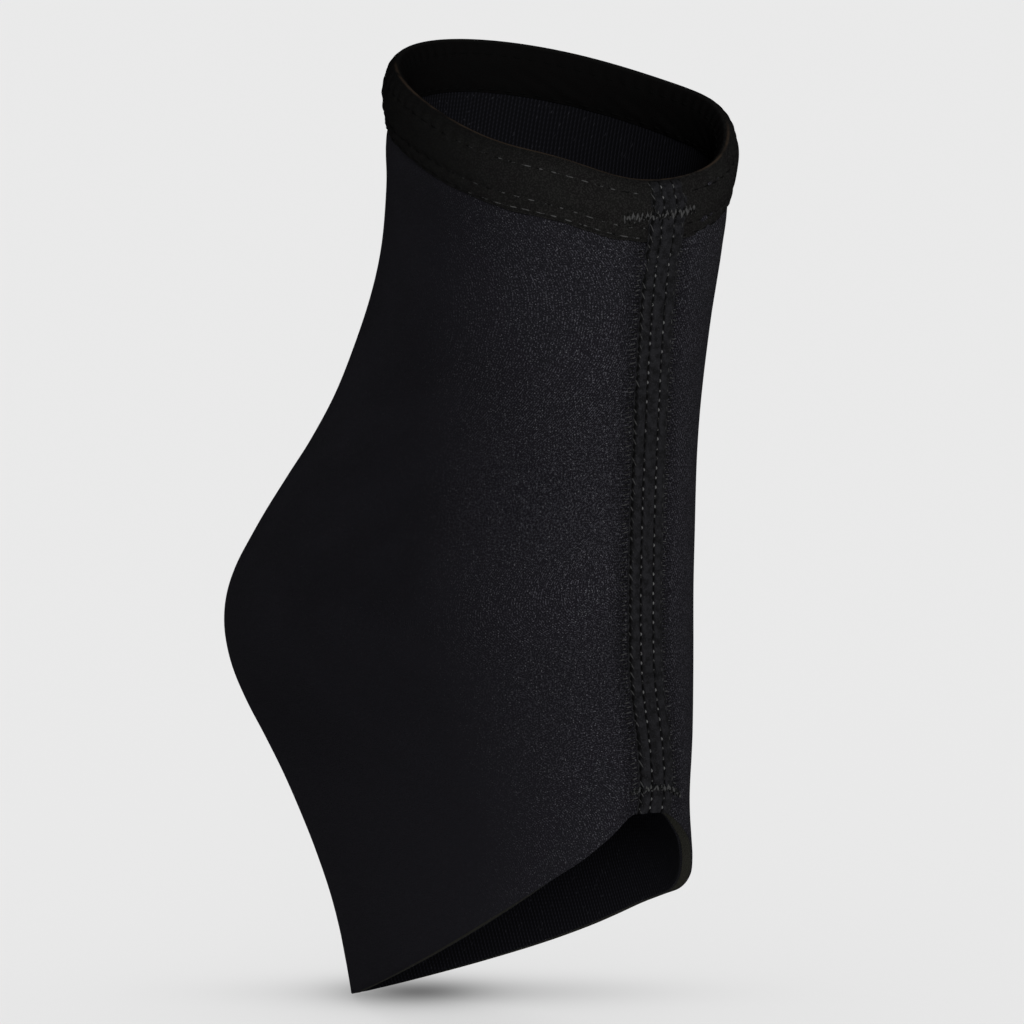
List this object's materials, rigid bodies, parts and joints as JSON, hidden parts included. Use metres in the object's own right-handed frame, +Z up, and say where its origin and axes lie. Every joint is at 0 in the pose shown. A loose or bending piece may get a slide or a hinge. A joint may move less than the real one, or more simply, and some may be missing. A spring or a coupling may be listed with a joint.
{
  "type": "ankle brace",
  "caption": "Pull-on neoprene ankle sleeve, open at the calf and over the toes, with a bound top rim and a flat seam down the front.",
  "frame": {"origin": "the middle of the ankle hollow, on the left-right mirror plane, where the ankle joint of the wearer sits", "axes": "+Z up along the shin, +X towards the toes, +Y to the wearer's left"},
  "size_m": [0.1413, 0.084, 0.2251],
  "materials": {
    "outer_jersey": "black brushed nylon jersey bonded to neoprene foam",
    "ribbed_lining": "black ribbed knit, matt",
    "binding_tape": "warm black felted elastic tape, matt",
    "seam_thread": "black flatlock seam in polyester thread"
  },
  "bodies": {
    "root": {"neoprene_shell": "outer_jersey", "inner_lining": "ribbed_lining", "top_binding": "binding_tape", "front_seam": "seam_thread"}
  },
  "joints": []
}
